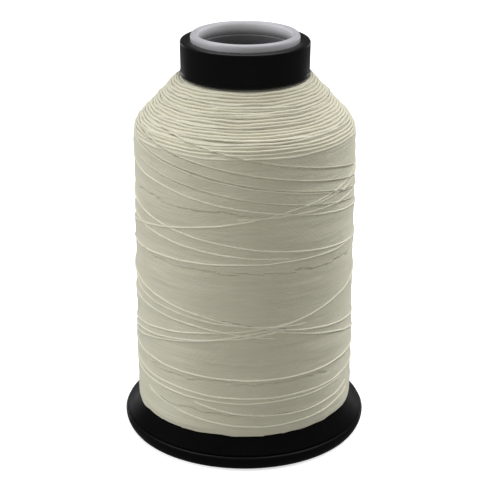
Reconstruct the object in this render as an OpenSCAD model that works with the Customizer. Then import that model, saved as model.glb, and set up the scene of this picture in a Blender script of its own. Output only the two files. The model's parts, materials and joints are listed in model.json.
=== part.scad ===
// Waxed thread spool: a natural plastic core tube that carries a black collar, a black flange and a
// click-fit foot, wound with one long waxed thread.
// Millimetres, +Z up along the tube, origin at the centre of the foot's underside.

/* [Overall] */
// Height from the table to the crest of the tube's lip
spool_h = 132; // [110:1:170]
// Diameter of the foot
foot_d = 80; // [66:0.5:100]

/* [Core tube] */
// Diameter of the bore that a spindle goes through
bore_d = 28; // [22:0.5:34]
// Wall of the tube
tube_wall = 1.6; // [1.3:0.1:2.4]
// Width of the ledge inside the mouth
ledge_w = 0.7; // [0.4:0.1:1]
// Depth of the ledge below the crest of the lip
ledge_depth = 4.2; // [3.5:0.1:8]
// How far the lip reaches out over the collar
lip_over = 1.55; // [1:0.05:2.2]
// Height of the lip above the edge of the collar
lip_stand = 2.1; // [1.7:0.1:3]
// Height of the tube's lower end above the table
tube_lift = 0.9; // [0.3:0.1:1.5]

/* [Collar] */
// Height of the collar
collar_h = 11; // [8:0.5:16]
// Width of the collar around the tube
collar_w = 4.8; // [4.2:0.1:8]
// Wall of the collar's skirt and of its sleeve
collar_wall = 1.5; // [1:0.1:1.9]
// How much narrower the skirt is at its lower end, on the radius
collar_draft = 0.15; // [0:0.05:0.4]
// How far the top dips from its edge to the lip
collar_dish = 0.3; // [0.1:0.1:0.6]
// Rounding of the collar's top edge
collar_round = 0.8; // [0.4:0.1:1.2]
// Radius of the bead round the skirt's lower end
collar_bead = 0.65; // [0.4:0.05:0.75]
// How far that bead stands out from the skirt
bead_stand = 0.3; // [0.1:0.05:0.4]

/* [Thread package] */
// Width of the foot left bare around the thread
bare_w = 4.5; // [3:0.5:9]
// How much smaller the package is at its shoulder than at its foot, on the radius
pack_taper = 0.4; // [0:0.1:3]
// Height of the sloping shoulder, up to the collar
shoulder_h = 15.4; // [10:0.2:24]
// Rounding of the shoulder's edge
shoulder_round = 6.5; // [2:0.5:10]
// How far the thread stands out past the collar at its top
nose_over = 0.8; // [0.3:0.1:2]

/* [Flange] */
// Wall of the flange
flange_wall = 1.8; // [1.4:0.1:2.2]
// How far the flange's edge is set back from the edge of the foot
edge_back = 0.7; // [0.5:0.1:1.2]
// Height of the flange's blunt edge
edge_t = 0.3; // [0.2:0.1:0.6]
// Angle of the steep outer skirt
skirt_angle = 48; // [40:1:55]
// Width of the steep outer skirt
skirt_w = 7.3; // [6:0.1:10]
// Angle of the web between the skirt and the hub
web_angle = 21; // [15:1:30]
// Height of the hub above the web
hub_rise = 3.2; // [2:0.2:6]
// Length of the hub along the tube
hub_l = 10; // [8:0.5:11]

/* [Click-fit foot] */
// Height of the foot's rim
rim_h = 4.4; // [4:0.1:6]
// Wall of the rim
rim_wall = 1.65; // [1.4:0.05:2.2]
// Rounding of the rim's top edge
rim_round = 1; // [0.6:0.1:1.3]
// How far the rim draws in towards the table
rim_tuck = 1.25; // [0.8:0.05:1.6]
// Thickness of the foot's floor
floor_t = 1.6; // [1.2:0.1:1.9]
// Depth of the recess under the floor
recess = 1; // [0.8:0.1:1.2]
// Width of the ring that stands on the table
ring_w = 2.6; // [2:0.1:4]
// Number of ribs under the floor
rib_n = 6; // [4:1:10]
// Width of a rib
rib_w = 1.2; // [0.8:0.1:2]
// Height of the snap sleeve above the floor
sleeve_h = 6.4; // [6:0.2:7.5]
// Wall of the snap sleeve
sleeve_wall = 1.6; // [1.2:0.1:2]
// How far the snap bead reaches into the tube's groove
snap_reach = 0.35; // [0.2:0.05:0.45]

/* [Fits] */
// Radial clearance of the snap sleeve on the tube
slide_gap = 0.1; // [0.05:0.01:0.1]
// Radial clearance of the flange's spigot inside the rim
spigot_gap = 0.15; // [0.1:0.05:0.3]
// Height of the open seam between the rim and the flange
seam = 0.3; // [0.3:0.1:0.5]
// How far the foot pulls away from the flange to take the thread's tail
lock_travel = 2; // [1:0.1:2.2]
// Clearance of the snap bead at the ends and at the bottom of its groove
snap_gap = 0.15; // [0.1:0.05:0.2]

/* [Hidden] */
$fn = 120;
natural = [0.86, 0.86, 0.88];
black = [0.07, 0.07, 0.075];
cream = [0.86, 0.84, 0.75];

// Tube
bore_r = bore_d / 2;
tube_r = bore_r + tube_wall;
mouth_r = bore_r + ledge_w;
lip_w = tube_r + lip_over - mouth_r;
lip_z = spool_h - lip_w / 2;
ledge_z = spool_h - ledge_depth;

// Collar
collar_r = tube_r + collar_w;
collar_top = spool_h - lip_stand;
collar_foot = collar_top - collar_h;
seat_z = collar_top - collar_dish;
sleeve_foot = collar_foot + 2 * collar_bead;

// Flange: height of its upper face at a radius, and of its lower face a wall below that
foot_r = foot_d / 2;
edge_r = foot_r - edge_back;
edge_z = rim_h + seam;
knee_r = edge_r - skirt_w;
knee_z = edge_z + edge_t + skirt_w * tan(skirt_angle);
hub_r = tube_r + flange_wall;
hub_top = web_z(hub_r) + hub_rise;
under_skirt = flange_wall / cos(skirt_angle);
under_web = flange_wall / cos(web_angle);
inner_knee_r = knee_r - (under_skirt - under_web) / (tan(skirt_angle) - tan(web_angle));
spigot_r = foot_r - rim_wall - spigot_gap;
spigot_in = spigot_r - flange_wall;
spigot_foot = recess + floor_t + seam;
function skirt_z(r) = edge_z + edge_t + (edge_r - r) * tan(skirt_angle);
function web_z(r) = knee_z + (knee_r - r) * tan(web_angle);

// Thread package
pack_r = foot_r - bare_w;
pack_top_r = pack_r - pack_taper;
nose_r = collar_r + nose_over;
corner_z = collar_foot - shoulder_h;
slope = atan2(shoulder_h, pack_top_r - nose_r);
tangent_l = shoulder_round * tan((90 - slope) / 2);

// Foot
rim_in = foot_r - rim_wall;
rim_mid = rim_h - rim_round;
rim_arc = (rim_tuck * rim_tuck + rim_mid * rim_mid) / (2 * rim_tuck);
ring_in = foot_r - rim_tuck - ring_w;
sleeve_r = tube_r + slide_gap;
floor_z = recess + floor_t;
sleeve_top = floor_z + sleeve_h;
snap_r = 0.5;
snap_z = sleeve_top - 2 * snap_r;
rib_lift = 0.2;

// Groove in the tube that the snap bead travels in
groove_r = sleeve_r - snap_reach - snap_gap;
groove_z = snap_z - snap_r - lock_travel - snap_gap;
groove_h = lock_travel + 2 * (snap_r + snap_gap);

// Natural plastic tube from the foot to the rolled lip that holds the collar down
module core_tube() {
    color(natural) rotate_extrude() difference() {
        union() {
            translate([bore_r, tube_lift]) square([tube_wall, lip_z - tube_lift]);
            translate([mouth_r, seat_z]) square([lip_w, lip_z - seat_z]);
            intersection() {
                translate([mouth_r + lip_w / 2, lip_z]) circle(d = lip_w);
                translate([mouth_r, lip_z]) square([lip_w, lip_w]);
            }
        }
        translate([0, ledge_z]) square([mouth_r, ledge_depth]);
        translate([groove_r, groove_z]) square([tube_r, groove_h]);
    }
}

// Black cap round the top of the tube: a skirt, a dished top and a sleeve that grips the tube
module top_collar() {
    skirt_r = collar_r - collar_draft;
    round_r = collar_r - collar_round;
    round_z = collar_top - collar_round;
    lip_r = tube_r + lip_over;
    color(black) rotate_extrude() {
        polygon([[skirt_r - collar_wall, collar_foot], [skirt_r, collar_foot],
                 [collar_r, round_z], [collar_r - collar_wall, round_z]]);
        polygon([[tube_r, seat_z - collar_wall], [collar_r - collar_wall, seat_z - collar_wall],
                 [collar_r, round_z], [round_r, collar_top], [lip_r, seat_z], [tube_r, seat_z]]);
        translate([round_r, round_z]) circle(r = collar_round);
        translate([tube_r, sleeve_foot]) square([collar_wall, seat_z - sleeve_foot]);
        translate([skirt_r + bead_stand - collar_bead, collar_foot + collar_bead])
            circle(r = collar_bead);
    }
}

// Black flange that the thread is wound against, with a hub on the tube and a spigot for the foot
module bottom_flange() {
    color(black) rotate_extrude() polygon([
        [edge_r, edge_z], [edge_r, edge_z + edge_t], [knee_r, knee_z], [hub_r, web_z(hub_r)],
        [hub_r, hub_top], [tube_r, hub_top], [tube_r, hub_top - hub_l], [hub_r, hub_top - hub_l],
        [hub_r, web_z(hub_r) - under_web], [inner_knee_r, web_z(inner_knee_r) - under_web],
        [spigot_in, skirt_z(spigot_in) - under_skirt], [spigot_in, spigot_foot],
        [spigot_r, spigot_foot], [spigot_r, edge_z]]);
}

// Black foot that snaps on under the flange and pulls down a little to trap the thread's tail
module snap_base() {
    color(black) {
        rotate_extrude() {
            translate([sleeve_r, recess]) square([rim_in - sleeve_r, floor_t]);
            translate([ring_in, 0]) square([ring_w, recess]);
            intersection() {
                translate([foot_r - rim_arc, rim_mid]) circle(r = rim_arc);
                translate([rim_in, 0]) square([rim_wall, rim_mid]);
            }
            translate([rim_in, rim_mid]) square([rim_wall - rim_round, rim_round]);
            intersection() {
                translate([foot_r - rim_round, rim_mid]) circle(r = rim_round);
                translate([rim_in, rim_mid]) square([rim_wall, rim_round]);
            }
            translate([sleeve_r, recess]) square([sleeve_wall, sleeve_top - recess]);
            translate([sleeve_r - snap_reach + snap_r, snap_z]) circle(r = snap_r);
        }
        for (i = [0 : rib_n - 1]) rotate(i * 360 / rib_n)
            translate([sleeve_r + sleeve_wall / 2, -rib_w / 2, rib_lift])
                cube([ring_in + ring_w / 2 - sleeve_r - sleeve_wall / 2, rib_w, floor_z - rib_lift]);
    }
}

// The wound thread as one body: a near-cylinder on the flange with a sloping shoulder
module thread_package() {
    color(cream) rotate_extrude() {
        polygon([
            [tube_r, hub_top], [hub_r, hub_top], [hub_r, web_z(hub_r)], [knee_r, knee_z],
            [pack_r, skirt_z(pack_r)], [pack_top_r, corner_z - tangent_l],
            [pack_top_r - tangent_l * cos(slope), corner_z + tangent_l * sin(slope)],
            [nose_r, collar_foot], [tube_r, collar_foot]]);
        translate([pack_top_r - shoulder_round, corner_z - tangent_l]) circle(r = shoulder_round);
    }
}

core_tube();
top_collar();
bottom_flange();
snap_base();
thread_package();
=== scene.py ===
import json
import math

import bmesh
import bpy
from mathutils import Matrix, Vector


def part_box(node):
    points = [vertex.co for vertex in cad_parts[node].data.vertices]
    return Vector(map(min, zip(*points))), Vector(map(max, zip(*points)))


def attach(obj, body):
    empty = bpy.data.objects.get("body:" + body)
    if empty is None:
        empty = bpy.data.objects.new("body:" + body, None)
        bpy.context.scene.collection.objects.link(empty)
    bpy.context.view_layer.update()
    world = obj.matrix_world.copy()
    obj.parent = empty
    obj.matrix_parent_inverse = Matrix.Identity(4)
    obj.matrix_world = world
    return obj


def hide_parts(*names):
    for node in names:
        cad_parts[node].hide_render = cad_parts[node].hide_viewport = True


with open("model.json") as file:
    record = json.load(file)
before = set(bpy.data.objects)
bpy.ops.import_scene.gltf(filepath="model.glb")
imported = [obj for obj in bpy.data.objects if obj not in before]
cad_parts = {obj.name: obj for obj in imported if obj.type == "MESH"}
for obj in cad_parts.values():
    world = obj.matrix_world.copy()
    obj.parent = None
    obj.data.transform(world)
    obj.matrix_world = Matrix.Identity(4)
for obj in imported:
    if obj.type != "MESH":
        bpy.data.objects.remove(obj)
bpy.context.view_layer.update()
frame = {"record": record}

MM = 0.001


# ---------------------------------------------------------------------------------------------
# Core tube. A blown and turned tube of natural polypropylene, milky and a little see-through.
# Its mouth is rolled out into a full-round lip that holds the collar down, and a small ledge is
# left inside the mouth. A groove near the lower end takes the foot's snap bead. Sizes are in mm.
# ---------------------------------------------------------------------------------------------
BORE_R = frame["record"]["mounts"][0]["dims"]["r_mm"]
SPOOL_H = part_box("core_tube")[1].z / MM
TUBE_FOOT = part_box("core_tube")[0].z / MM
LIP_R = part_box("core_tube")[1].x / MM
TUBE_WALL = 1.6
LEDGE_W = 0.7
LEDGE_DEPTH = 4.2
SEAT_DEPTH = 2.4
TUBE_R = BORE_R + TUBE_WALL
MOUTH_R = BORE_R + LEDGE_W
LEDGE_Z = SPOOL_H - LEDGE_DEPTH
SEAT_Z = SPOOL_H - SEAT_DEPTH
SNAP_GROOVE_R = 15.2
SNAP_GROOVE_Z = 5.35
SNAP_GROOVE_TOP = SNAP_GROOVE_Z + 3.3
# The plastic is cloudy between the first two colours. Inside the mouth it is lightened to a painted
# glow of the light that comes through the wall, and down in the bore it is darkened, partly for the
# black pieces around it that show through and partly as painted shade
CLOUD_DARK = (0.41, 0.41, 0.44, 1)
CLOUD_PALE = (0.47, 0.47, 0.5, 1)
MOUTH_PAINTED_GLOW = (0.64, 0.64, 0.67, 1)
BORE_PAINTED_SHADE = (0.11, 0.11, 0.115, 1)
BORE_SHADE = 0.94


def soften(corners, arc_steps=6):
    """The points of an outline of (radius, height, rounding) corners, with each corner rounded."""
    points = []
    for k, (x, z, rounding) in enumerate(corners):
        here = Vector((x, z))
        before = Vector(corners[k - 1][:2]) - here
        after = Vector(corners[(k + 1) % len(corners)][:2]) - here
        if not rounding:
            points.append(here)
            continue
        before.normalize()
        after.normalize()
        half = before.angle(after) / 2
        middle = here + (before + after).normalized() * (rounding / math.sin(half))
        first = here + before * (rounding / math.tan(half)) - middle
        last = here + after * (rounding / math.tan(half)) - middle
        turn = first.angle_signed(last)
        for step in range(arc_steps + 1):
            a = -turn * step / arc_steps
            points.append(middle + Vector((first.x * math.cos(a) - first.y * math.sin(a),
                                           first.x * math.sin(a) + first.y * math.cos(a))))
    return points


def lathe(bm, outline, steps=192):
    """Turn a closed outline in mm about the Z axis into the mesh, in metres."""
    rings = []
    for step in range(steps):
        a = 2 * math.pi * step / steps
        rings.append([bm.verts.new((p.x * math.cos(a) * MM, p.x * math.sin(a) * MM, p.y * MM))
                      for p in outline])
    for step in range(steps):
        here, there = rings[step - 1], rings[step]
        for k in range(len(outline)):
            bm.faces.new((here[k - 1], there[k - 1], there[k], here[k]))


def finished(bm, name, material, crease=35):
    """Close a mesh up as a smooth piece with its faces outwards and its real edges kept sharp."""
    bmesh.ops.remove_doubles(bm, verts=bm.verts, dist=0.5e-6)
    bmesh.ops.recalc_face_normals(bm, faces=bm.faces)
    mesh = bpy.data.meshes.new(name)
    bm.to_mesh(mesh)
    bm.free()
    mesh.shade_smooth()
    mesh.set_sharp_from_angle(angle=math.radians(crease))
    mesh.materials.append(material)
    piece = bpy.data.objects.new(name, mesh)
    bpy.context.scene.collection.objects.link(piece)
    return piece


def node(tree, kind, inputs=None, **settings):
    """Add a node; each input is a value or the output that feeds it."""
    made = tree.nodes.new(kind)
    for setting, value in settings.items():
        setattr(made, setting, value)
    for socket, value in (inputs or {}).items():
        if isinstance(value, bpy.types.NodeSocket):
            tree.links.new(value, made.inputs[socket])
        else:
            made.inputs[socket].default_value = value
    return made


def calc(tree, operation, *values):
    """The output of a Math node."""
    return node(tree, "ShaderNodeMath", dict(enumerate(values)), operation=operation).outputs[0]


def spread(tree, value, low, high, to_low, to_high, ease="LINEAR"):
    """The output of a Map Range node from low..high to to_low..to_high."""
    inputs = {"Value": value, "From Min": low, "From Max": high, "To Min": to_low, "To Max": to_high}
    return node(tree, "ShaderNodeMapRange", inputs, interpolation_type=ease).outputs[0]


def noise(tree, vector, scale, detail=2.0):
    """The output of a 3-D Noise Texture."""
    inputs = {"Vector": vector, "Scale": scale, "Detail": detail}
    return node(tree, "ShaderNodeTexNoise", inputs).outputs[0]


def blended(tree, factor, first, second):
    """The output of a colour Mix node."""
    inputs = {"Factor": factor, "A": first, "B": second}
    return node(tree, "ShaderNodeMix", inputs, data_type="RGBA").outputs["Result"]


def bumped(tree, shader, height, strength, distance):
    """Give a shader a bump of this depth in metres."""
    inputs = {"Height": height, "Strength": strength, "Distance": distance}
    tree.links.new(node(tree, "ShaderNodeBump", inputs).outputs[0], shader.inputs["Normal"])


def plain_material(name, **sockets):
    """A material whose Principled shader has these values on its own sockets."""
    material = bpy.data.materials.new(name)
    material.use_nodes = True
    shader = material.node_tree.nodes["Principled BSDF"]
    for socket, value in sockets.items():
        shader.inputs[socket.replace("_", " ")].default_value = value
    return material, material.node_tree, shader


def natural_plastic():
    material, tree, shader = plain_material(
        "natural_plastic", Specular_IOR_Level=0.5, Subsurface_Weight=0.2, Subsurface_Scale=0.0022,
        Subsurface_Radius=(1.0, 0.95, 0.9), Coat_Weight=0.15, Coat_Roughness=0.2)
    place = node(tree, "ShaderNodeTexCoord").outputs["Object"]
    cloud = noise(tree, place, 160, 3)
    cloudy = blended(tree, cloud, CLOUD_DARK, CLOUD_PALE)
    height = node(tree, "ShaderNodeSeparateXYZ", {0: place}).outputs[2]
    flat = node(tree, "ShaderNodeMapping", {"Vector": place, "Scale": (1, 1, 0)}).outputs[0]
    radius = node(tree, "ShaderNodeVectorMath", {0: flat}, operation="LENGTH").outputs["Value"]
    # Painted glow: the colour is lightened inside the mouth, near the bore's edge, for the light coming
    # through the wall
    inside = spread(tree, radius, (MOUTH_R + 0.05) * MM, (MOUTH_R + 0.5) * MM, 1, 0)
    with_painted_glow = blended(tree, inside, cloudy, MOUTH_PAINTED_GLOW)
    # Painted shade: the colour is darkened down the bore, below the lip, partly also for the black pieces
    # showing through
    deep = spread(tree, height, LEDGE_Z * MM, (SPOOL_H - 1) * MM, BORE_SHADE, 0, "SMOOTHSTEP")
    tree.links.new(blended(tree, deep, with_painted_glow, BORE_PAINTED_SHADE), shader.inputs["Base Color"])
    tree.links.new(spread(tree, cloud, 0.3, 0.7, 0.30, 0.42), shader.inputs["Roughness"])
    ripple = node(tree, "ShaderNodeMapping", {"Vector": place, "Scale": (1, 1, 0.25)}).outputs[0]
    bumped(tree, shader, noise(tree, ripple, 700, 2), 0.15, 0.05 * MM)
    return material


NATURAL = natural_plastic()
# A hair under half the lip's width, so that its two roundings don't quite meet
LIP_ROUND = (LIP_R - MOUTH_R) / 2 - 0.002
tube_mesh = bmesh.new()
lathe(tube_mesh, soften([
    (BORE_R, TUBE_FOOT, 0.2), (TUBE_R, TUBE_FOOT, 0.3),
    (TUBE_R, SNAP_GROOVE_Z, 0.1), (SNAP_GROOVE_R, SNAP_GROOVE_Z, 0.1),
    (SNAP_GROOVE_R, SNAP_GROOVE_TOP, 0.1), (TUBE_R, SNAP_GROOVE_TOP, 0.1), (TUBE_R, SEAT_Z, 0),
    (LIP_R, SEAT_Z, 0.1), (LIP_R, SPOOL_H, LIP_ROUND), (MOUTH_R, SPOOL_H, LIP_ROUND),
    (MOUTH_R, LEDGE_Z, 0.12), (BORE_R, LEDGE_Z, 0.15)], 10))
core_tube = finished(tube_mesh, "rolled_core_tube", NATURAL)
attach(core_tube, "spool")
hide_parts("core_tube")


# ---------------------------------------------------------------------------------------------
# Top collar. A black injection-moulded cap pressed round the top of the tube before its lip is
# rolled. It has a dished top, a thin skirt with a bead at its lower end, and a sleeve inside.
# ---------------------------------------------------------------------------------------------
COLLAR_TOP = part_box("top_collar")[1].z / MM
COLLAR_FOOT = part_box("top_collar")[0].z / MM
BEAD = 0.65
BEAD_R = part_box("top_collar")[1].x / MM
COLLAR_W = 4.8
COLLAR_DRAFT = 0.15
COLLAR_WALL = 1.5
COLLAR_RIM = 1.3
UNDER_LIP = 0.3
COLLAR_R = TUBE_R + COLLAR_W
SKIRT_R = COLLAR_R - COLLAR_DRAFT
COLLAR_INNER = SKIRT_R - COLLAR_WALL
COLLAR_UNDER = SEAT_Z - COLLAR_WALL
COLLAR_SLEEVE = COLLAR_FOOT + 2 * BEAD
DUST = (0.075, 0.075, 0.073, 1)


def black_plastic(name, base, shine_low, shine_high, speck, mirror):
    """Moulded black plastic: its darkness, its range of roughness, its dust and how much it mirrors."""
    material, tree, shader = plain_material(name, Specular_IOR_Level=mirror)
    place = node(tree, "ShaderNodeTexCoord").outputs["Object"]
    cloud = noise(tree, place, 90, 4)
    grain = noise(tree, place, 2600, 2)
    dust = spread(tree, noise(tree, place, 1500, 1), 0.70, 0.78, 0, speck)
    dusty = calc(tree, "ADD", calc(tree, "MULTIPLY", cloud, 0.01), dust)
    colour = blended(tree, dusty, (base, base, base * 1.04, 1), DUST)
    tree.links.new(colour, shader.inputs["Base Color"])
    tree.links.new(spread(tree, cloud, 0.3, 0.7, shine_low, shine_high), shader.inputs["Roughness"])
    bumped(tree, shader, grain, 0.25, 0.02 * MM)
    return material


BLACK = black_plastic("black_plastic_satin", 0.0022, 0.26, 0.38, 0.1, 0.38)
bead = [(BEAD_R - BEAD + BEAD * math.sin(math.radians(a)),
         COLLAR_FOOT + BEAD - BEAD * math.cos(math.radians(a)), 0) for a in range(-40, 131, 10)]
collar_mesh = bmesh.new()
lathe(collar_mesh, soften([
    (COLLAR_INNER + 0.2, COLLAR_UNDER, 0.3), (COLLAR_INNER, COLLAR_FOOT + 0.3, 0), *bead,
    (SKIRT_R, COLLAR_FOOT + 2.2 * BEAD, 0), (COLLAR_R, COLLAR_TOP, 0.8),
    (COLLAR_R - COLLAR_RIM, COLLAR_TOP, 0.4), (LIP_R - UNDER_LIP, SEAT_Z, 0), (TUBE_R, SEAT_Z, 0),
    (TUBE_R, COLLAR_SLEEVE, 0.2), (TUBE_R + COLLAR_WALL, COLLAR_SLEEVE, 0.2),
    (TUBE_R + COLLAR_WALL, COLLAR_UNDER, 0.3)]))
top_collar = finished(collar_mesh, "moulded_top_collar", BLACK, 50)
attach(top_collar, "spool")
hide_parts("top_collar")


# ---------------------------------------------------------------------------------------------
# Bottom flange. A black moulded dish that the thread is wound against. Its hub grips the tube,
# its steep outer skirt stays bare, and its spigot goes down inside the foot's rim.
# ---------------------------------------------------------------------------------------------
FLANGE_WALL = 1.8
EDGE_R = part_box("bottom_flange")[1].x / MM
EDGE_Z = 4.7
EDGE_T = 0.3
SKIRT_W = 7.3
SKIRT_ANGLE = math.radians(48)
WEB_ANGLE = math.radians(21)
SKIRT_SLOPE = math.tan(SKIRT_ANGLE)
WEB_SLOPE = math.tan(WEB_ANGLE)
KNEE_R = EDGE_R - SKIRT_W
KNEE_Z = EDGE_Z + EDGE_T + SKIRT_W * SKIRT_SLOPE
HUB_L = 10
HUB_R = TUBE_R + FLANGE_WALL
HUB_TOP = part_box("bottom_flange")[1].z / MM
HUB_FOOT = HUB_TOP - HUB_L
SPIGOT_R = 38.2
SPIGOT_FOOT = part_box("bottom_flange")[0].z / MM
UNDER_SKIRT = FLANGE_WALL / math.cos(SKIRT_ANGLE)
UNDER_WEB = FLANGE_WALL / math.cos(WEB_ANGLE)


def skirt_z(r):
    """Height of the skirt's upper face at this radius."""
    return EDGE_Z + EDGE_T + (EDGE_R - r) * SKIRT_SLOPE


def web_z(r):
    """Height of the web's upper face at this radius."""
    return KNEE_Z + (KNEE_R - r) * WEB_SLOPE


inner_knee = KNEE_R - (UNDER_SKIRT - UNDER_WEB) / (SKIRT_SLOPE - WEB_SLOPE)
spigot_in = SPIGOT_R - FLANGE_WALL
flange_mesh = bmesh.new()
lathe(flange_mesh, soften([
    (EDGE_R, EDGE_Z, 0.08), (EDGE_R, EDGE_Z + EDGE_T, 0.12), (KNEE_R, KNEE_Z, 1.0),
    (HUB_R, web_z(HUB_R), 0.5),
    (HUB_R, HUB_TOP, 0.3), (TUBE_R, HUB_TOP, 0.2), (TUBE_R, HUB_FOOT, 0.2), (HUB_R, HUB_FOOT, 0.3),
    (HUB_R, web_z(HUB_R) - UNDER_WEB, 0.4), (inner_knee, web_z(inner_knee) - UNDER_WEB, 0.8),
    (spigot_in, skirt_z(spigot_in) - UNDER_SKIRT, 0.4), (spigot_in, SPIGOT_FOOT, 0.3),
    (SPIGOT_R, SPIGOT_FOOT, 0.3), (SPIGOT_R, EDGE_Z, 0.1)]), 256)
bottom_flange = finished(flange_mesh, "moulded_bottom_flange",
                         black_plastic("black_plastic_flange", 0.0022, 0.32, 0.44, 0.1, 0.1))
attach(bottom_flange, "spool")
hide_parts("bottom_flange")


# ---------------------------------------------------------------------------------------------
# Click-fit foot. A black moulded dish with a rounded rim, ribs under its floor and a sleeve whose
# bead clicks into the tube's groove. It pulls 2 mm away from the flange to trap the thread's end.
# ---------------------------------------------------------------------------------------------
FOOT_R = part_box("snap_base")[1].x / MM
RIM_H = 4.4
RIM_WALL = 1.65
RIM_ROUND = 1.0
RIM_TUCK = 1.25
RIM_STEPS = 12
RIM_IN = FOOT_R - RIM_WALL
RING_W = 2.6
RING_IN = FOOT_R - RIM_TUCK - RING_W
RECESS = 1.0
FLOOR_T = 1.6
FLOOR_Z = RECESS + FLOOR_T
SLEEVE_GAP = 0.1
SLEEVE_WALL = 1.6
SLEEVE_R = TUBE_R + SLEEVE_GAP
SLEEVE_OUT = SLEEVE_R + SLEEVE_WALL
SLEEVE_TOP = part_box("snap_base")[1].z / MM
SNAP = 0.5
SNAP_REACH = 0.35
RIB_COUNT = 6
RIB_W = 1.2
RIB_H = 2.2
RIB_MIDDLE = 1.3
PIN_COUNT = 3
PIN_R = 2
PIN_PLACE = 27
rim_mid = RIM_H - RIM_ROUND
rim_arc = (RIM_TUCK ** 2 + rim_mid ** 2) / (2 * RIM_TUCK)
rim_face = []
for step in range(RIM_STEPS + 1):
    z = rim_mid * step / RIM_STEPS
    rim_face.append((FOOT_R - rim_arc + math.sqrt(rim_arc ** 2 - (rim_mid - z) ** 2), z, 0))
rim_top = [(FOOT_R - RIM_ROUND + RIM_ROUND * math.cos(math.radians(a)),
            rim_mid + RIM_ROUND * math.sin(math.radians(a)), 0) for a in range(10, 91, 10)]
snap_bead = [(SLEEVE_R - SNAP_REACH + SNAP - SNAP * math.sin(math.radians(a)),
              SLEEVE_TOP - 2 * SNAP + SNAP * math.cos(math.radians(a)), 0) for a in range(20, 161, 20)]
foot_mesh = bmesh.new()
lathe(foot_mesh, soften([
    *rim_face, *rim_top, (RIM_IN, RIM_H, 0.15), (RIM_IN, FLOOR_Z, 0.4), (SLEEVE_OUT, FLOOR_Z, 0.5),
    (SLEEVE_OUT, SLEEVE_TOP, 0.4), (SLEEVE_R, SLEEVE_TOP, 0.1), *snap_bead, (SLEEVE_R, RECESS, 0.3),
    (RING_IN, RECESS, 0.4), (RING_IN, 0, 0.3)]), 256)
for number in range(RIB_COUNT):
    turn = 2 * math.pi * number / RIB_COUNT
    along = Vector((math.cos(turn), math.sin(turn), 0))
    across = Vector((-along.y, along.x, 0))
    rib = bmesh.ops.create_cube(foot_mesh, size=1)["verts"]
    for vert in rib:
        share = vert.co.x + 0.5
        reach = (SLEEVE_R + SLEEVE_WALL / 2) * (1 - share) + (RING_IN + 1) * share
        height = Vector((0, 0, RIB_MIDDLE + vert.co.z * RIB_H))
        vert.co = (along * reach + across * vert.co.y * RIB_W + height) * MM
    edges = {edge for vert in rib for edge in vert.link_edges}
    foot_mesh.normal_update()
    bmesh.ops.bevel(foot_mesh, geom=list(edges), offset=0.25 * MM, segments=2, affect="EDGES")
# The round marks that the mould's ejector pins leave under the floor
for number in range(PIN_COUNT):
    turn = 2 * math.pi * (number + 0.25) / PIN_COUNT
    pin = bmesh.ops.create_cone(foot_mesh, cap_ends=True, segments=32, radius1=PIN_R * MM,
                                radius2=PIN_R * MM, depth=0.5 * MM)["verts"]
    middle = Vector((PIN_PLACE * math.cos(turn), PIN_PLACE * math.sin(turn), RECESS + 0.1)) * MM
    bmesh.ops.translate(foot_mesh, verts=pin, vec=middle)
snap_base = finished(foot_mesh, "click_fit_foot",
                     black_plastic("black_plastic_foot", 0.0025, 0.28, 0.4, 0.1, 0.2))
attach(snap_base, "foot")
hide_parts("snap_base")


# ---------------------------------------------------------------------------------------------
# Inner thread. The many layers under the outermost one, as a closed body on the tube and the
# flange. It is what shows in the gaps between the outer turns.
# ---------------------------------------------------------------------------------------------
PACK_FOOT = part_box("thread_package")[0].z / MM
PACK_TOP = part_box("thread_package")[1].z / MM
PACK_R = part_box("thread_package")[1].x / MM
PACK_TAPER = 0.4
SHOULDER_H = 15.4
SHOULDER_R = PACK_R - PACK_TAPER
SHOULDER_Z = PACK_TOP - SHOULDER_H
SHOULDER_ROUND = 6.5
NOSE_OVER = 0.8
NOSE_R = COLLAR_R + NOSE_OVER
INNER_DEPTH = 1.1
# How far the body sinks into the flange and stays below the collar
SINK = 0.3


def waxed_thread(name, dull, bright):
    """Waxed three-ply thread between two colours, with its plies round the thread's own section, bumped and
    darkened with painted shade in the grooves between them.
    """
    material, tree, shader = plain_material(
        name, Specular_IOR_Level=0.45, Subsurface_Weight=0.12, Subsurface_Scale=0.0008,
        Subsurface_Radius=(1.0, 0.9, 0.6), Sheen_Weight=0.1, Sheen_Roughness=0.5)
    place = node(tree, "ShaderNodeTexCoord").outputs["Object"]
    around = node(tree, "ShaderNodeSeparateXYZ",
                  {0: node(tree, "ShaderNodeAttribute", attribute_name="around").outputs["Vector"]})
    turned = calc(tree, "ARCTAN2", around.outputs[1], around.outputs[0])
    # ply is lowest in the grooves between the plies; where it darkens the colour there, that is painted
    # shade (it also drives the bump)
    ply = calc(tree, "COSINE", calc(tree, "MULTIPLY", turned, 3.0))
    cloud = noise(tree, place, 60, 3)
    fleck = noise(tree, place, 900, 2)
    mixed = calc(tree, "ADD", calc(tree, "MULTIPLY", cloud, 0.7), calc(tree, "MULTIPLY", fleck, 0.3))
    tone_and_ply_shade = calc(tree, "ADD", mixed, calc(tree, "MULTIPLY", ply, 0.06))
    tree.links.new(blended(tree, tone_and_ply_shade, dull, bright), shader.inputs["Base Color"])
    tree.links.new(spread(tree, fleck, 0.3, 0.7, 0.42, 0.62), shader.inputs["Roughness"])
    bumped(tree, shader, calc(tree, "ADD", ply, fleck), 0.3, 0.03 * MM)
    return material


WAXED = waxed_thread("waxed_thread", (0.64, 0.615, 0.48, 1), (0.76, 0.74, 0.61, 1))


def package_corners(depth):
    """The package's outline from the flange up to the collar, this deep under its surface."""
    return [(PACK_R - depth, skirt_z(PACK_R) - SINK, 0),
            (SHOULDER_R - depth, SHOULDER_Z - depth / 2, SHOULDER_ROUND),
            (NOSE_R - depth, PACK_TOP - depth / 2, 0)]


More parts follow.
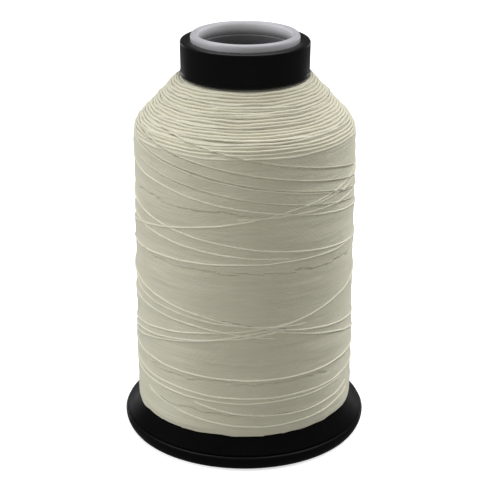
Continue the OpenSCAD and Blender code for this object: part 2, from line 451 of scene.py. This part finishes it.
core_mesh = bmesh.new()
lathe(core_mesh, soften(package_corners(INNER_DEPTH) + [
    (TUBE_R - 0.02, PACK_TOP - SINK, 0), (TUBE_R - 0.02, HUB_TOP - 0.5, 0),
    (HUB_R - SINK, web_z(HUB_R) - SINK, 0), (KNEE_R, KNEE_Z - SINK, 0)], 12))
thread_core = finished(core_mesh, "inner_thread", WAXED)
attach(thread_core, "spool")
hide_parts("thread_package")


# ---------------------------------------------------------------------------------------------
# Outer turns of the package. One waxed three-ply thread, wound turn beside turn. Layers end in
# low edges, so the surface is stepped and a little wavy, with a groove below each edge.
# ---------------------------------------------------------------------------------------------
THREAD = 0.6
PITCH = 0.4
# The groove below a layer's edge: its depth, how much deeper it is at a ragged edge, its width
EDGE_DIP = 0.5
RAGGED_DIP = 1.5
EDGE_REACH = 0.5
# The outermost layer stands in or out by up to this much, and is drawn in at the flange
BULGE = 0.3
DRAWN_IN = 0.25
# The lowest turns ride up the flange by up to this much in places, and it dies out over this height
FOOT_LIFT = 0.9
FOOT_REACH = 6.0
FOOT_SEED = 5.0
# The degrees over which a loose stretch dives under the turns at its ends
DIVE = 12
# Layer edges: level at the front and rise per turn, how far the layer above stands out, length of
# its swell, how ragged the edge is, all in mm, and the azimuths that the edge runs between
LAYER_EDGES = [
    (102.0, -45, 0.28, 3.0, 0.05, -150, -5), (97.4, -41, 0.34, 3.0, 0.05, -185, -5),
    (94.0, -41, 0.36, 3.0, 0.05, -190, -5), (89.3, -37, 0.24, 4.0, 0.08, -200, -5),
    (84.6, -8, 0.22, 3.0, 0.8, -170, -80), (65.7, -4, 0.26, 4.0, 0.8, -230, 50),
    (48.7, -30, 0.30, 4.0, 0.15, -190, -70), (28.4, 0, 0.26, 4.0, 0.9, -200, 20),
    (17.6, -3, 0.22, 3.0, 0.9, -150, -60)]


def new_tree(name, inputs, outputs):
    """A Geometry Nodes group with named sockets; gives the tree, its inputs and its output node."""
    tree = bpy.data.node_groups.new(name, "GeometryNodeTree")
    for label, kind, value in inputs:
        socket = tree.interface.new_socket(label, in_out="INPUT", socket_type="NodeSocket" + kind)
        if value is not None:
            socket.default_value = value
    for label, kind in outputs:
        tree.interface.new_socket(label, in_out="OUTPUT", socket_type="NodeSocket" + kind)
    return tree, tree.nodes.new("NodeGroupInput").outputs, tree.nodes.new("NodeGroupOutput")


def outline_curve():
    """The package's outline as a line of points in the XZ plane, in mm, for the winding to follow."""
    points = soften(package_corners(THREAD / 2), 16)
    steps = [(k, k + 1) for k in range(len(points) - 1)]
    mesh = bpy.data.meshes.new("package_outline")
    mesh.from_pydata([(p.x, 0, p.y) for p in points], steps, [])
    line = bpy.data.objects.new("package_outline", mesh)
    bpy.context.scene.collection.objects.link(line)
    return line


def package_surface(line):
    """A group that turns a level and an angle into a point on the package and the way out of it."""
    tree, given, end = new_tree("package_surface", [("Level", "Float", 0.0), ("Angle", "Float", 0.0)],
                                [("Point", "Vector"), ("Outward", "Vector"), ("Relief", "Float"),
                                 ("Bulge", "Float")])
    level, angle = given["Level"], given["Angle"]
    cos, sin = calc(tree, "COSINE", angle), calc(tree, "SINE", angle)

    def ring(x, y, z):
        return node(tree, "ShaderNodeCombineXYZ", {0: x, 1: y, 2: z}).outputs[0]

    uneven = noise(tree, ring(cos, sin, FOOT_SEED), 2.4, 2.0)
    lifted = calc(tree, "MULTIPLY", spread(tree, uneven, 0.42, 0.62, 0, FOOT_LIFT),
                  spread(tree, level, PACK_FOOT, PACK_FOOT + FOOT_REACH, 1, 0))
    along = calc(tree, "ADD", calc(tree, "SUBTRACT", level, PACK_FOOT), lifted)
    curve = node(tree, "GeometryNodeMeshToCurve", {
        "Mesh": node(tree, "GeometryNodeObjectInfo", {"Object": line}).outputs["Geometry"]}).outputs[0]
    sample = node(tree, "GeometryNodeSampleCurve", {"Curves": curve, "Length": along}, mode="LENGTH")
    flat = node(tree, "ShaderNodeSeparateXYZ", {0: sample.outputs["Position"]}).outputs
    tangent = node(tree, "ShaderNodeSeparateXYZ", {0: sample.outputs["Tangent"]}).outputs

    def turned(radial, upward):
        return ring(calc(tree, "MULTIPLY", radial, cos), calc(tree, "MULTIPLY", radial, sin), upward)

    around = ring(cos, sin, calc(tree, "MULTIPLY", level, 0.16))
    bulge = calc(tree, "ADD", spread(tree, noise(tree, around, 1.0, 2.0), 0.25, 0.75, -BULGE, BULGE),
                 spread(tree, level, PACK_FOOT, PACK_FOOT + 2.5, -DRAWN_IN, 0, "SMOOTHSTEP"))
    relief = bulge
    azimuth = calc(tree, "WRAP", calc(tree, "DEGREES", angle), 90.0, -270.0)
    for front, rise, stand, swell, ragged, start, finish in LAYER_EDGES:
        torn = ragged > 0.5
        wavering = noise(tree, ring(cos, sin, front), 9.0 if torn else 2.0, 3.0)
        wander = spread(tree, wavering, 0.3, 0.7, -ragged, ragged)
        edge = calc(tree, "ADD", calc(tree, "MULTIPLY_ADD", azimuth, rise / 360, front + rise / 4), wander)
        above = calc(tree, "SUBTRACT", level, edge)
        over = calc(tree, "GREATER_THAN", above, 0.0)
        reach = calc(tree, "MULTIPLY_ADD", over, EDGE_REACH - swell, -EDGE_REACH)
        swelling = calc(tree, "EXPONENT", calc(tree, "DIVIDE", calc(tree, "ABSOLUTE", above), reach))
        ends = calc(tree, "MULTIPLY", spread(tree, azimuth, start - 20, start + 20, 0, 1, "SMOOTHSTEP"),
                    spread(tree, azimuth, finish - 20, finish + 20, 1, 0, "SMOOTHSTEP"))
        dip = EDGE_DIP * (RAGGED_DIP if torn else 1)
        height = calc(tree, "MULTIPLY_ADD", over, stand + dip, -dip)
        relief = calc(tree, "MULTIPLY_ADD", calc(tree, "MULTIPLY", swelling, ends), height, relief)
    tree.links.new(turned(flat[0], flat[2]), end.inputs["Point"])
    tree.links.new(turned(tangent[2], calc(tree, "MULTIPLY", tangent[0], -1.0)), end.inputs["Outward"])
    tree.links.new(relief, end.inputs["Relief"])
    tree.links.new(bulge, end.inputs["Bulge"])
    return tree


def laid_thread(surface):
    """A group that lays a stretch of thread on the package and joins it to what it is given.

    Azimuths are in degrees from +X. Levels are in mm from the table, measured along the outline.
    Bow and tilt bend the route, lift and tuck say how far it stands out and dives at its ends,
    and spans is 1 where it bridges the grooves that other turns go down into.
    """
    tree, given, end = new_tree("laid_thread", [
        ("Geometry", "Geometry", None), ("Turns", "Float", 1.0), ("Start azimuth", "Float", 0.0),
        ("Start level", "Float", 20.0), ("End level", "Float", 20.0), ("Bow", "Float", 0.0),
        ("Tilt", "Float", 0.0), ("Tilt azimuth", "Float", 0.0), ("Lift", "Float", 0.0),
        ("Tuck", "Float", 0.0), ("Spans", "Float", 0.0), ("Wander", "Float", 0.0),
        ("Lift wander", "Float", 0.0), ("Thickness", "Float", THREAD), ("Lobe", "Float", 0.0),
        ("Twist", "Float", 0.0), ("Segments", "Float", 128.0), ("Sides", "Int", 5),
        ("Seed", "Float", 0.0), ("Material", "Material", None)], [("Geometry", "Geometry")])
    steps = calc(tree, "CEIL", calc(tree, "MULTIPLY", given["Turns"], given["Segments"]))
    count = calc(tree, "ADD", steps, 1.0)
    line = node(tree, "GeometryNodeResampleCurve", {
        "Curve": node(tree, "GeometryNodeCurvePrimitiveLine").outputs[0], "Count": count}, mode="COUNT")
    share = node(tree, "GeometryNodeSplineParameter").outputs["Factor"]
    angle = calc(tree, "ADD", calc(tree, "RADIANS", given["Start azimuth"]),
                 calc(tree, "MULTIPLY", calc(tree, "MULTIPLY", share, given["Turns"]), 2 * math.pi))
    straight = spread(tree, share, 0, 1, given["Start level"], given["End level"])
    middle = calc(tree, "MULTIPLY", calc(tree, "MULTIPLY", share, calc(tree, "SUBTRACT", 1.0, share)), 4.0)
    bowed = calc(tree, "ADD", straight, calc(tree, "MULTIPLY", middle, given["Bow"]))
    tilted = calc(tree, "MULTIPLY", given["Tilt"], calc(tree, "COSINE", calc(
        tree, "SUBTRACT", angle, calc(tree, "RADIANS", given["Tilt azimuth"]))))
    laid = calc(tree, "ADD", bowed, tilted)
    turn = calc(tree, "DIVIDE", angle, 2 * math.pi)
    ring = node(tree, "ShaderNodeCombineXYZ", {
        0: calc(tree, "COSINE", angle), 1: calc(tree, "SINE", angle),
        2: calc(tree, "ADD", calc(tree, "MULTIPLY", turn, 0.2), given["Seed"])}).outputs[0]
    sway = spread(tree, noise(tree, ring, 2.6, 3.0), 0.25, 0.75, -1, 1)
    elsewhere = node(tree, "ShaderNodeVectorMath", {0: ring, 1: (7.3, 2.9, 4.1)}).outputs[0]
    heave = spread(tree, noise(tree, elsewhere, 3.2, 2.0), 0.25, 0.75, -1, 1)
    level = calc(tree, "ADD", laid, calc(tree, "MULTIPLY", sway, given["Wander"]))
    on = node(tree, "GeometryNodeGroup", {}, node_tree=surface)
    tree.links.new(level, on.inputs["Level"])
    tree.links.new(angle, on.inputs["Angle"])
    from_end = calc(tree, "MULTIPLY", calc(tree, "MINIMUM", share, calc(tree, "SUBTRACT", 1.0, share)),
                    calc(tree, "MULTIPLY", given["Turns"], 360.0))
    clear_of_end = spread(tree, from_end, 0, DIVE, 0, 1, "SMOOTHSTEP")
    tucked = calc(tree, "MULTIPLY", calc(tree, "SUBTRACT", 1.0, clear_of_end), given["Tuck"])
    groove = calc(tree, "MAXIMUM", calc(tree, "SUBTRACT", on.outputs["Bulge"], on.outputs["Relief"]), 0.0)
    bedded = calc(tree, "MULTIPLY_ADD", groove, given["Spans"], on.outputs["Relief"])
    stand = calc(tree, "SUBTRACT", calc(tree, "ADD", calc(tree, "ADD", given["Lift"], bedded),
                                        calc(tree, "MULTIPLY", heave, given["Lift wander"])), tucked)
    out = node(tree, "ShaderNodeVectorMath", {0: on.outputs["Outward"]}, operation="SCALE")
    tree.links.new(stand, out.inputs["Scale"])
    point = node(tree, "ShaderNodeVectorMath", {0: on.outputs["Point"], 1: out.outputs[0]}, operation="ADD")
    path = node(tree, "GeometryNodeSetPosition", {"Geometry": line.outputs[0], "Position": point.outputs[0]})
    level_up = node(tree, "GeometryNodeSetCurveNormal", {"Curve": path.outputs[0]}, mode="Z_UP")
    run = node(tree, "GeometryNodeSplineParameter").outputs["Length"]
    twisted = node(tree, "GeometryNodeSetCurveTilt", {
        "Curve": level_up.outputs[0], "Tilt": calc(tree, "MULTIPLY", run, given["Twist"])})
    circle = node(tree, "GeometryNodeCurvePrimitiveCircle", {
        "Resolution": given["Sides"], "Radius": calc(tree, "DIVIDE", given["Thickness"], 2.0)}).outputs[0]
    at = node(tree, "GeometryNodeInputPosition").outputs[0]
    flat = node(tree, "ShaderNodeSeparateXYZ", {0: at}).outputs
    lobes = calc(tree, "COSINE", calc(tree, "MULTIPLY", calc(tree, "ARCTAN2", flat[1], flat[0]), 3.0))
    swollen = node(tree, "ShaderNodeVectorMath", {0: at}, operation="SCALE")
    swelling = calc(tree, "ADD", calc(tree, "MULTIPLY", lobes, given["Lobe"]), 1.0)
    tree.links.new(swelling, swollen.inputs["Scale"])
    plied = node(tree, "GeometryNodeSetPosition", {"Geometry": circle, "Position": swollen.outputs[0]})
    section = node(tree, "GeometryNodeStoreNamedAttribute",
                   {"Geometry": plied.outputs[0], "Name": "around", "Value": at},
                   data_type="FLOAT_VECTOR", domain="POINT")
    tube = node(tree, "GeometryNodeCurveToMesh", {
        "Curve": twisted.outputs[0], "Profile Curve": section.outputs[0], "Fill Caps": True})
    scaled = node(tree, "GeometryNodeTransform", {"Geometry": tube.outputs[0], "Scale": (MM, MM, MM)})
    smooth = node(tree, "GeometryNodeSetShadeSmooth", {"Geometry": scaled.outputs[0]})
    joined = node(tree, "GeometryNodeJoinGeometry", {"Geometry": given["Geometry"]})
    tree.links.new(smooth.outputs[0], joined.inputs[0])
    real = node(tree, "GeometryNodeRealizeInstances", {"Geometry": joined.outputs[0]})
    coated = node(tree, "GeometryNodeSetMaterial", {
        "Geometry": real.outputs[0], "Material": given["Material"]})
    tree.links.new(coated.outputs[0], end.inputs["Geometry"])
    return tree


def wind(name, stretches, material):
    """Lay these stretches of thread with one modifier each, and keep the result as one plain mesh."""
    holder = bpy.data.objects.new(name + "_path", bpy.data.meshes.new(name + "_path"))
    bpy.context.scene.collection.objects.link(holder)
    items = THREAD_TREE.interface.items_tree
    sockets = {item.name: item.identifier for item in items if item.in_out == "INPUT"}
    for stretch in stretches:
        modifier = holder.modifiers.new("thread", "NODES")
        modifier.node_group = THREAD_TREE
        for label, value in {**stretch, "Material": material}.items():
            modifier[sockets[label]] = value
    bpy.context.view_layer.update()
    graph = bpy.context.evaluated_depsgraph_get()
    mesh = bpy.data.meshes.new_from_object(holder.evaluated_get(graph))
    mesh.name = name
    bpy.data.objects.remove(holder)
    piece = bpy.data.objects.new(name, mesh)
    bpy.context.scene.collection.objects.link(piece)
    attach(piece, "spool")
    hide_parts("thread_package")
    return piece


OUTLINE = outline_curve()
THREAD_TREE = laid_thread(package_surface(OUTLINE))
FIRST_LEVEL = PACK_FOOT + THREAD / 2
JOIN_LEVEL = 57.0
LAST_LEVEL = 103.0
for name, low, high in (("lower_turns", FIRST_LEVEL, JOIN_LEVEL), ("upper_turns", JOIN_LEVEL, LAST_LEVEL)):
    wind(name, [{"Turns": float(round((high - low) / PITCH)), "Start azimuth": 90.0, "Start level": low,
                 "End level": high, "Wander": 0.06, "Lift wander": 0.04}], WAXED)


# ---------------------------------------------------------------------------------------------
# Turns of the sloping shoulder. Every layer ends a little lower than the one under it, so each
# end turn lies as a ridge with a sunk turn beside it, and some turns have slipped over others.
# ---------------------------------------------------------------------------------------------
SHOULDER_FOOT = 101.6
SHOULDER_TOP = 124.2
RIDGES = 20
# Slipped turns: start azimuth, turns, level at both ends, tilt and its azimuth
SLIPPED = [
    (-170, 0.6, 105.6, 106.6, 0.5, -40), (60, 0.8, 108.4, 107.4, 0.6, 170),
    (-160, 0.35, 111.0, 112.2, 0.3, -120), (120, 0.9, 114.8, 115.9, 0.5, -70),
    (-120, 0.4, 118.2, 117.2, 0.3, -90), (10, 0.8, 119.0, 120.2, 0.5, 100)]
# Raised turns and sunk turns: how far they stand out, and how thick they look
RAISED = (0.04, 0.92)
SUNK = (-0.4, 0.74)
shoulder = []
for number, (lift, thickness) in enumerate((RAISED, SUNK)):
    offset = number * (SHOULDER_TOP - SHOULDER_FOOT) / RIDGES / 2
    shoulder.append({"Turns": float(RIDGES), "Start azimuth": 90.0, "Start level": SHOULDER_FOOT + offset,
                     "End level": SHOULDER_TOP + offset - 0.5, "Lift": lift, "Wander": 0.32,
                     "Lift wander": 0.12, "Thickness": thickness, "Segments": 240.0, "Sides": 7,
                     "Seed": 3.0 + number * 0.1})
for number, (azimuth, turns, low, high, tilt, toward) in enumerate(SLIPPED):
    shoulder.append({"Turns": turns, "Start azimuth": float(azimuth), "Start level": low, "End level": high,
                     "Tilt": tilt, "Tilt azimuth": float(toward), "Lift": 0.3, "Tuck": 0.9, "Wander": 0.42,
                     "Lift wander": 0.1, "Thickness": 0.7, "Segments": 240.0, "Sides": 7,
                     "Seed": 3.3 + number * 0.1})
wind("shoulder_turns", shoulder, WAXED)


# ---------------------------------------------------------------------------------------------
# Crossing turns. The last stretches of thread, laid across the fine turns as the winder's guide
# travelled fast up or down. They stand proud of the rest, and dive under it at both ends.
# ---------------------------------------------------------------------------------------------
# A lighter copy of the waxed thread, as painted light, so that the crossing turns look lit brighter than the
# turns under them
PAINTED_LIT_THREAD = waxed_thread("waxed_thread_painted_lit", (0.79, 0.765, 0.62, 1), (0.87, 0.85, 0.72, 1))
# One full twist of the three plies in this length of thread
TWIST_LENGTH = 4.5
# Start azimuth, end azimuth, level at both ends and bow between them, in degrees and mm
CROSSING = [
    (-182, 30, 103.2, 80.0, 0.3), (-200, 30, 97.5, 75.5, -0.9), (-205, 25, 85.0, 65.8, -1.5),
    (-195, -60, 78.0, 69.3, -0.5), (-190, 15, 65.5, 67.5, 2.1), (-190, 12, 71.0, 94.0, 0.0),
    (-62, 14, 85.3, 91.6, -0.3), (-100, 35, 83.2, 85.0, 0.0), (-185, -5, 57.5, 40.0, 0.0),
    (-185, -50, 54.0, 47.0, -1.2), (-185, -68, 48.5, 43.0, 1.6), (-190, -60, 36.6, 48.5, 1.0),
    (-185, -60, 35.2, 47.0, 0.2), (-84, 20, 47.4, 30.5, 0.6), (-188, 20, 32.0, 59.0, 0.3),
    (-195, 15, 31.4, 30.2, -1.0),
    (-190, 20, 26.2, 24.4, -2.0), (-180, -20, 23.4, 23.0, -1.4), (-125, -12, 21.8, 20.0, -4.1),
    (-158, -12, 20.6, 17.2, -5.6), (20, 150, 62.0, 78.0, 1.0), (30, 165, 72.0, 60.0, 0.0),
    (40, 160, 42.0, 50.0, -1.5), (25, 150, 33.0, 27.0, 1.0), (50, 150, 92.0, 86.0, 0.5)]
# How far the turns run on round the back before they dive under: at least this, and by how much more
ONWARD = 42
FURTHER = 50
# Steps that spread the turns' ends evenly over that stretch, one for each end
GOLDEN = 0.618
GOLDEN_SQUARED = 0.382
crossing = []
for number, (start, finish, low, high, bow) in enumerate(CROSSING):
    width = finish - start
    before = ONWARD + FURTHER * (GOLDEN * number % 1) if start < -160 else 0
    after = ONWARD + FURTHER * (GOLDEN_SQUARED * number % 1) if start < 0 and finish > -10 else 0
    ends = [low + (high - low) * x + 4 * bow * x * (1 - x) for x in (-before / width, 1 + after / width)]
    crossing.append({"Turns": (width + before + after) / 360, "Start azimuth": float(start - before),
                     "Start level": ends[0], "End level": ends[1],
                     "Bow": bow * (1 + (before + after) / width) ** 2, "Lift": 0.32, "Tuck": 1.0,
                     "Spans": 1.0, "Wander": 0.2, "Lift wander": 0.04, "Thickness": 0.68, "Lobe": 0.1,
                     "Twist": 2 * math.pi / TWIST_LENGTH, "Segments": 600.0, "Sides": 7,
                     "Seed": 31.0 + number})
# A clean layer edge shows the layer's last turn, which lies along it
last_turns = []
for front, rise, stand, swell, ragged, start, finish in LAYER_EDGES:
    if ragged < 0.1:
        last_turns.append({"Turns": (finish - start) / 360, "Start azimuth": float(start),
                           "Start level": front + THREAD / 2 + rise * (start + 90) / 360,
                           "End level": front + THREAD / 2 + rise * (finish + 90) / 360, "Lift": 0.1,
                           "Tuck": 0.6, "Wander": 0.08, "Lift wander": 0.03, "Segments": 360.0,
                           "Sides": 7, "Seed": front})
wind("crossing_turns", crossing, PAINTED_LIT_THREAD)
wind("layer_end_turns", last_turns, WAXED)
bpy.data.objects.remove(OUTLINE)


# ---------------------------------------------------------------------------------------------
# Studio. A pale, faintly glowing floor that is clear from below. A big overhead softbox and two
# side ones light the thread, a warm low one fills its front, and two small ones behind put a line
# of shine on the ends of the black plastic.
# ---------------------------------------------------------------------------------------------
FLOOR_HALF = 3.0
AIMED_AT = Vector((0, 0, 0.06))
WARM = (1, 0.985, 0.93)
corners = [(-FLOOR_HALF, -FLOOR_HALF, 0), (FLOOR_HALF, -FLOOR_HALF, 0), (FLOOR_HALF, FLOOR_HALF, 0),
           (-FLOOR_HALF, FLOOR_HALF, 0)]
floor_mesh = bpy.data.meshes.new("floor")
floor_mesh.from_pydata(corners, [], [(0, 1, 2, 3)])
floor = bpy.data.objects.new("floor", floor_mesh)
floor.visible_diffuse = False
floor.visible_glossy = False
bpy.context.scene.collection.objects.link(floor)


def pale_floor():
    material, tree, shader = plain_material("pale_floor", Base_Color=(0.85, 0.85, 0.85, 1), Roughness=0.9,
                                            Specular_IOR_Level=0.1, Emission_Color=(1, 1, 1, 1),
                                            Emission_Strength=0.55)
    clear = node(tree, "ShaderNodeBsdfTransparent").outputs[0]
    under = node(tree, "ShaderNodeNewGeometry").outputs["Backfacing"]
    mixed = node(tree, "ShaderNodeMixShader", {0: under, 1: shader.outputs[0], 2: clear})
    tree.links.new(mixed.outputs[0], tree.nodes["Material Output"].inputs["Surface"])
    return material


floor_mesh.materials.append(pale_floor())


def softbox(name, place, width, depth, brightness, mirrored, tint=(1, 1, 1)):
    """A soft rectangular light aimed at the spool, which smooth plastic mirrors or doesn't."""
    light = bpy.data.lights.new(name, "AREA")
    light.shape = "RECTANGLE"
    light.size, light.size_y = width, depth
    light.energy = brightness * math.pi * width * depth
    light.color = tint
    lamp = bpy.data.objects.new(name, light)
    lamp.location = place
    lamp.rotation_euler = (AIMED_AT - Vector(place)).to_track_quat("-Z", "Y").to_euler()
    lamp.visible_camera = False
    lamp.visible_glossy = mirrored
    bpy.context.scene.collection.objects.link(lamp)


softbox("overhead", (0, 0.2, 1.1), 1.5, 0.8, 2.7, True)
softbox("left_side", (-0.9, 0, 0.5), 0.7, 0.7, 3.7, False)
softbox("right_side", (0.8, 0.44, 0.5), 0.7, 0.7, 5.0, False)
softbox("left_edge", (-0.6, 0.85, 0.085), 0.3, 0.16, 2.9, True)
softbox("right_edge", (0.6, 0.85, 0.085), 0.3, 0.16, 2.1, True)
softbox("front", (0, -1.07, 0.29), 1.0, 0.28, 5.55, False, WARM)
world = bpy.data.worlds.new("studio")
bpy.context.scene.world = world
world.use_nodes = True
SKY_LIGHT = 0.08
backdrop = world.node_tree.nodes["Background"]
backdrop.inputs["Color"].default_value = (1, 1, 1, 1)
seen = node(world.node_tree, "ShaderNodeLightPath").outputs["Is Camera Ray"]
world.node_tree.links.new(spread(world.node_tree, seen, 0, 1, SKY_LIGHT, 1.0), backdrop.inputs["Strength"])
bpy.context.scene.view_settings.view_transform = "Standard"

# The camera looks a little down on the spool from the front, with a long lens
CAMERA_DISTANCE = 0.4944
CAMERA_ELEVATION = math.radians(21.41)
CAMERA_ROLL = math.radians(0.18)
AIM = Vector((0.00013, 0, 0.0612))
camera_data = bpy.data.cameras.new("camera")
camera_data.sensor_width = 36
camera_data.lens = 111.1
camera = bpy.data.objects.new("camera", camera_data)
away = Vector((0, -math.cos(CAMERA_ELEVATION), math.sin(CAMERA_ELEVATION)))
camera.location = AIM + CAMERA_DISTANCE * away
camera.rotation_mode = "ZXY"
camera.rotation_euler = (math.pi / 2 - CAMERA_ELEVATION, 0, CAMERA_ROLL)
bpy.context.scene.collection.objects.link(camera)
bpy.context.scene.camera = camera
